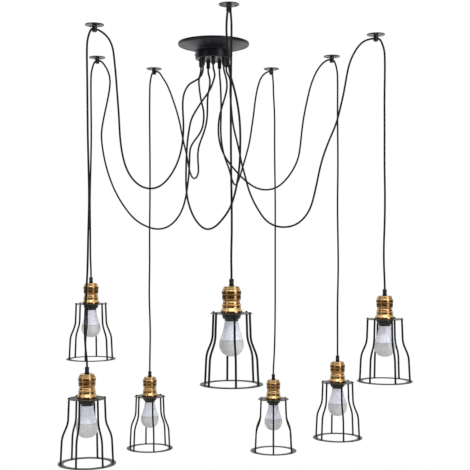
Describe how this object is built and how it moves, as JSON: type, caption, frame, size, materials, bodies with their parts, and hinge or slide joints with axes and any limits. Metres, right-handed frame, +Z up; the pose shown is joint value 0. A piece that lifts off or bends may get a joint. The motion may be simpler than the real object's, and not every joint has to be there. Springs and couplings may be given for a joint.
{
  "type": "pendant light",
  "caption": "Spider pendant light: caged lamps hang on cords that swag from a round canopy to ceiling hooks.",
  "frame": {"origin": "middle of the canopy's mounting face, on the ceiling", "axes": "+Z up, normal to the ceiling; for someone who faces the light as in the picture, +X to the right and +Y away"},
  "size_m": [1.0181, 1.0507, 1.2694],
  "materials": {
    "canopy_black": "satin black paint with a blue cast",
    "zinc_plate": "zinc plated",
    "black_nylon": "moulded nylon",
    "hook_black": "satin black paint",
    "cord_black": "smooth round flex",
    "antique_brass": "polished antique brass",
    "socket_black": "black moulding",
    "lamp_white": "pale satin housing and dome",
    "wire_black": "black powder coat"
  },
  "bodies": {
    "canopy_and_hooks": {"mounting_bracket": "zinc_plate", "canopy_plate": "canopy_black", "canopy_cup": "canopy_black", "canopy_cord_grips": "black_nylon", "ceiling_hook_1": "hook_black", "ceiling_hook_2": "hook_black", "ceiling_hook_3": "hook_black", "ceiling_hook_4": "hook_black", "ceiling_hook_5": "hook_black", "ceiling_hook_6": "hook_black", "ceiling_hook_7": "hook_black", "swag_cord_1": "cord_black", "swag_cord_2": "cord_black", "swag_cord_3": "cord_black", "swag_cord_4": "cord_black", "swag_cord_5": "cord_black", "swag_cord_6": "cord_black", "swag_cord_7": "cord_black"},
    "pendant_1": {"drop_cord_1": "cord_black", "lamp_cord_grip_1": "black_nylon", "lamp_holder_1": "antique_brass", "lamp_socket_1": "socket_black", "bulb_1": "lamp_white", "wire_cage_1": "wire_black"},
    "pendant_2": {"drop_cord_2": "cord_black", "lamp_cord_grip_2": "black_nylon", "lamp_holder_2": "antique_brass", "lamp_socket_2": "socket_black", "bulb_2": "lamp_white", "wire_cage_2": "wire_black"},
    "pendant_3": {"drop_cord_3": "cord_black", "lamp_cord_grip_3": "black_nylon", "lamp_holder_3": "antique_brass", "lamp_socket_3": "socket_black", "bulb_3": "lamp_white", "wire_cage_3": "wire_black"},
    "pendant_4": {"drop_cord_4": "cord_black", "lamp_cord_grip_4": "black_nylon", "lamp_holder_4": "antique_brass", "lamp_socket_4": "socket_black", "bulb_4": "lamp_white", "wire_cage_4": "wire_black"},
    "pendant_5": {"drop_cord_5": "cord_black", "lamp_cord_grip_5": "black_nylon", "lamp_holder_5": "antique_brass", "lamp_socket_5": "socket_black", "bulb_5": "lamp_white", "wire_cage_5": "wire_black"},
    "pendant_6": {"drop_cord_6": "cord_black", "lamp_cord_grip_6": "black_nylon", "lamp_holder_6": "antique_brass", "lamp_socket_6": "socket_black", "bulb_6": "lamp_white", "wire_cage_6": "wire_black"},
    "pendant_7": {"drop_cord_7": "cord_black", "lamp_cord_grip_7": "black_nylon", "lamp_holder_7": "antique_brass", "lamp_socket_7": "socket_black", "bulb_7": "lamp_white", "wire_cage_7": "wire_black"}
  },
  "joints": [
    {"name": "pendant_1_swing", "type": "hinge", "parent": "canopy_and_hooks", "child": "pendant_1", "pos_m": [-0.31179, -0.23325, -0.012], "axis": [-0.7071, -0.7071, 0], "range_deg": [-20, 17]},
    {"name": "pendant_2_swing", "type": "hinge", "parent": "canopy_and_hooks", "child": "pendant_2", "pos_m": [-0.36668, 0.20915, -0.012], "axis": [-0.866, 0.5, 0], "range_deg": [-10, 20]},
    {"name": "pendant_3_swing", "type": "hinge", "parent": "canopy_and_hooks", "child": "pendant_3", "pos_m": [-0.20558, 0.40001, -0.012], "axis": [-0.6428, 0.766, 0], "range_deg": [-20, 8]},
    {"name": "pendant_4_swing", "type": "hinge", "parent": "canopy_and_hooks", "child": "pendant_4", "pos_m": [0.18231, 0.40191, -0.012], "axis": [0.309, 0.9511, 0], "range_deg": [-6, 12]},
    {"name": "pendant_5_swing", "type": "hinge", "parent": "canopy_and_hooks", "child": "pendant_5", "pos_m": [0.36164, 0.1931, -0.012], "axis": [0.788, 0.6157, 0], "range_deg": [-12, 6]},
    {"name": "pendant_6_swing", "type": "hinge", "parent": "canopy_and_hooks", "child": "pendant_6", "pos_m": [0.4537, -0.1148, -0.012], "axis": [0.9703, -0.2419, 0], "range_deg": [-20, 20]},
    {"name": "pendant_7_swing", "type": "hinge", "parent": "canopy_and_hooks", "child": "pendant_7", "pos_m": [0.04721, -0.44915, -0.012], "axis": [0.2588, -0.9659, 0], "range_deg": [-20, 20]}
  ]
}
